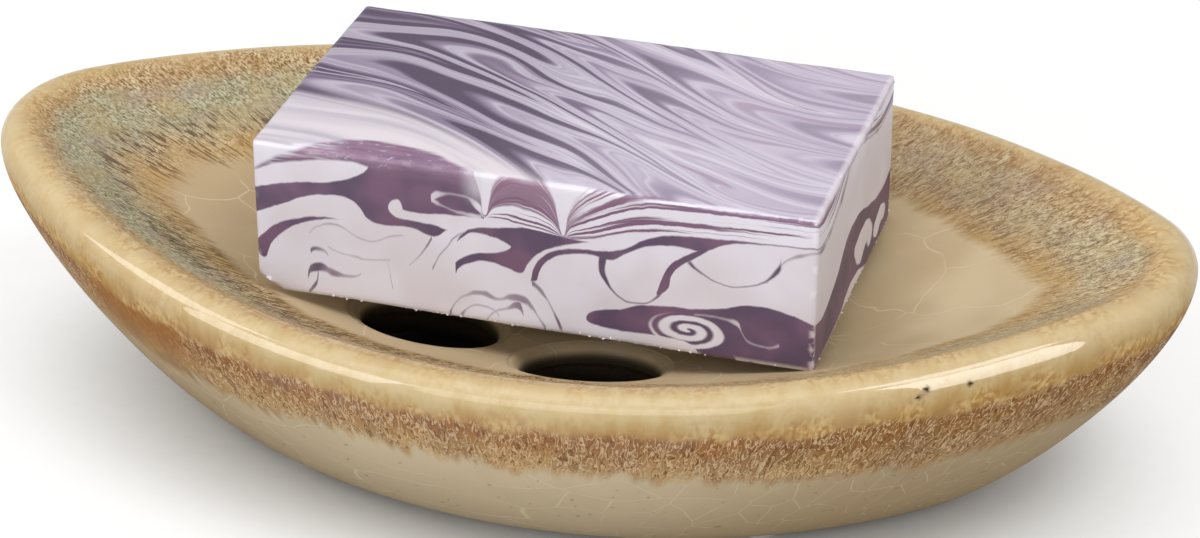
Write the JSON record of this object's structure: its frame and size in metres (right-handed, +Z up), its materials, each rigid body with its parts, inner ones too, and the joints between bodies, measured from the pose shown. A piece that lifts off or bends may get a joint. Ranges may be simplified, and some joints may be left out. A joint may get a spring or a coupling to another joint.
{
  "type": "soap dish",
  "caption": "Boat-shaped glazed stoneware soap dish with a drained bowl, a hollow foot on soft pads and a lift-out bar of marbled soap.",
  "frame": {"origin": "middle of the standing plane, under the middle of the dish", "axes": "+X along the dish from tip to tip, +Y across it to the back, +Z up out of the bowl"},
  "size_m": [0.18, 0.1054, 0.0507],
  "materials": {
    "glazed_stoneware": "glossy running glaze, honey rim over cream",
    "soap": "satin marbled soap, lavender and plum in pinkish white",
    "soft_pad": "matt silicone rubber"
  },
  "bodies": {
    "dish": {"stoneware_dish": "glazed_stoneware", "foot_pad_front_left": "soft_pad", "foot_pad_front_right": "soft_pad", "foot_pad_back_left": "soft_pad", "foot_pad_back_right": "soft_pad"},
    "soap": {"soap_bar": "soap"}
  },
  "joints": [
    {"name": "soap_lift", "type": "slide", "parent": "dish", "child": "soap", "axis": [0, 0, 1], "range_m": [0, 0.06]}
  ]
}
